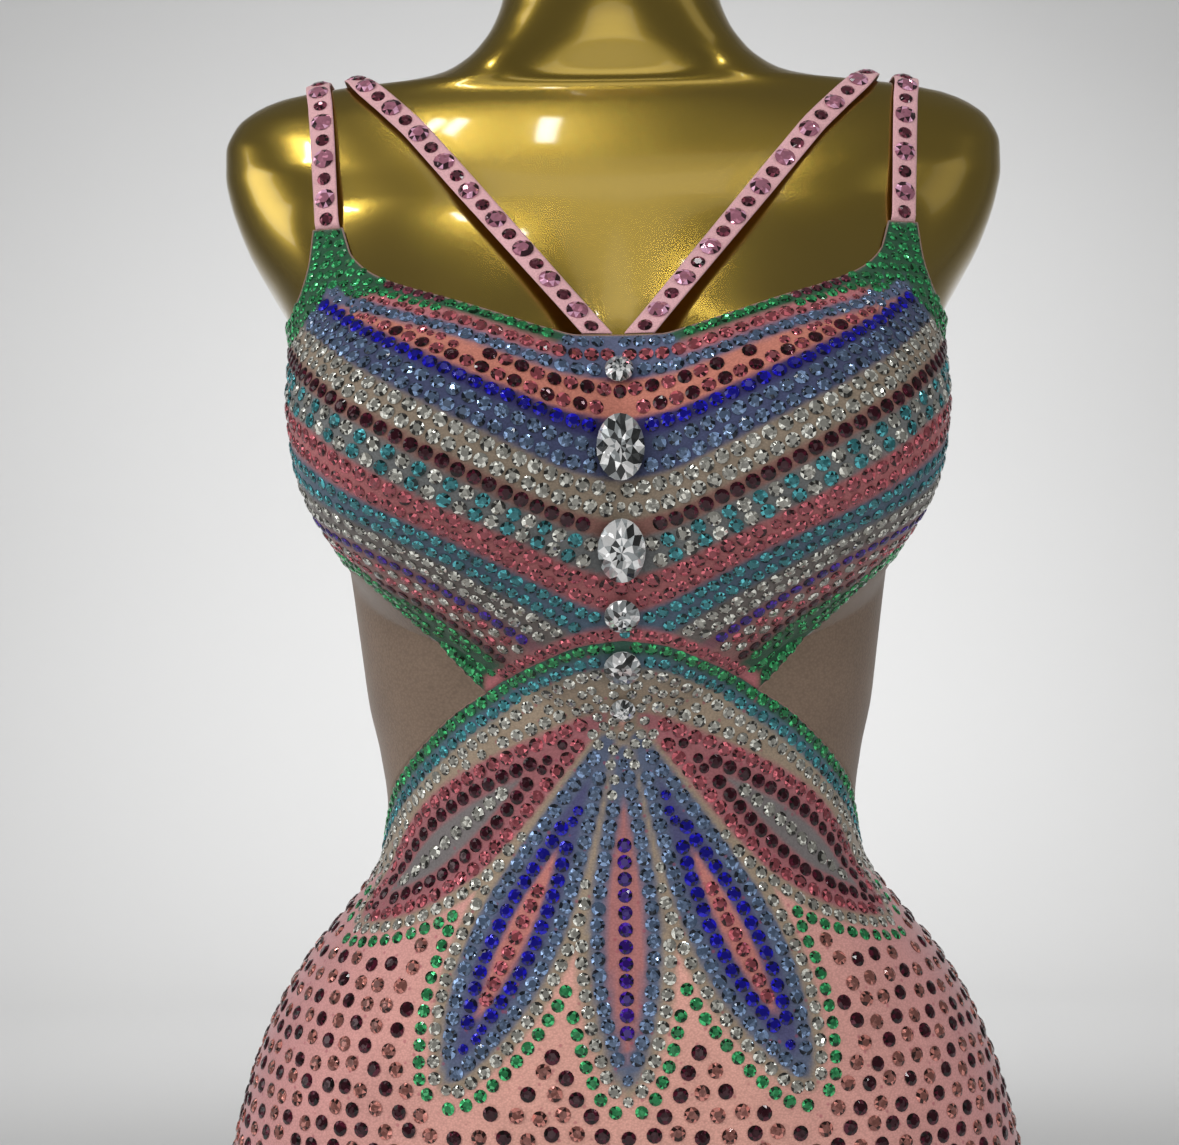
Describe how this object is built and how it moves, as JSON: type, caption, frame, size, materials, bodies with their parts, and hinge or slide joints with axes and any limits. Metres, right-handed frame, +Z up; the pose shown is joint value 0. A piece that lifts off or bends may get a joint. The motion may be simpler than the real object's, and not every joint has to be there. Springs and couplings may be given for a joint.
{
  "type": "sheer rhinestone dress on dress form",
  "caption": "Short close-fitting stage dress in sheer stretch cloth with shoulder straps, waist cut-outs and large crystals, shown on a limbless gold dress form.",
  "frame": {"origin": "centre of the dress form's flat base, on the surface that it stands on", "axes": "+Z up; the front of the dress faces -Y; +X is the wearer's left"},
  "size_m": [0.372, 0.2861, 0.85],
  "materials": {
    "form_gold": "metallic gold lacquer over fibreglass, glossy",
    "printed_cloth": "printed stretch cloth, matt",
    "pink_mesh": "sheer pink stretch mesh",
    "nude_mesh": "sheer nude stretch mesh, matt",
    "strap": "flat woven elastic, satin",
    "crystal": "faceted foil-backed crystal"
  },
  "bodies": {
    "root": {"dress_form": "form_gold", "bodice_front": "printed_cloth", "back_band": "printed_cloth", "side_mesh_left": "nude_mesh", "side_mesh_right": "nude_mesh", "back_mesh": "nude_mesh", "skirt_front": "pink_mesh", "skirt_back": "pink_mesh", "strap_outer_left": "strap", "strap_outer_right": "strap", "strap_inner_left": "strap", "strap_inner_right": "strap", "gem_1_round": "crystal", "gem_2_oval": "crystal", "gem_3_oval": "crystal", "gem_4_round": "crystal", "gem_5_round": "crystal", "gem_6_round": "crystal"}
  },
  "joints": []
}
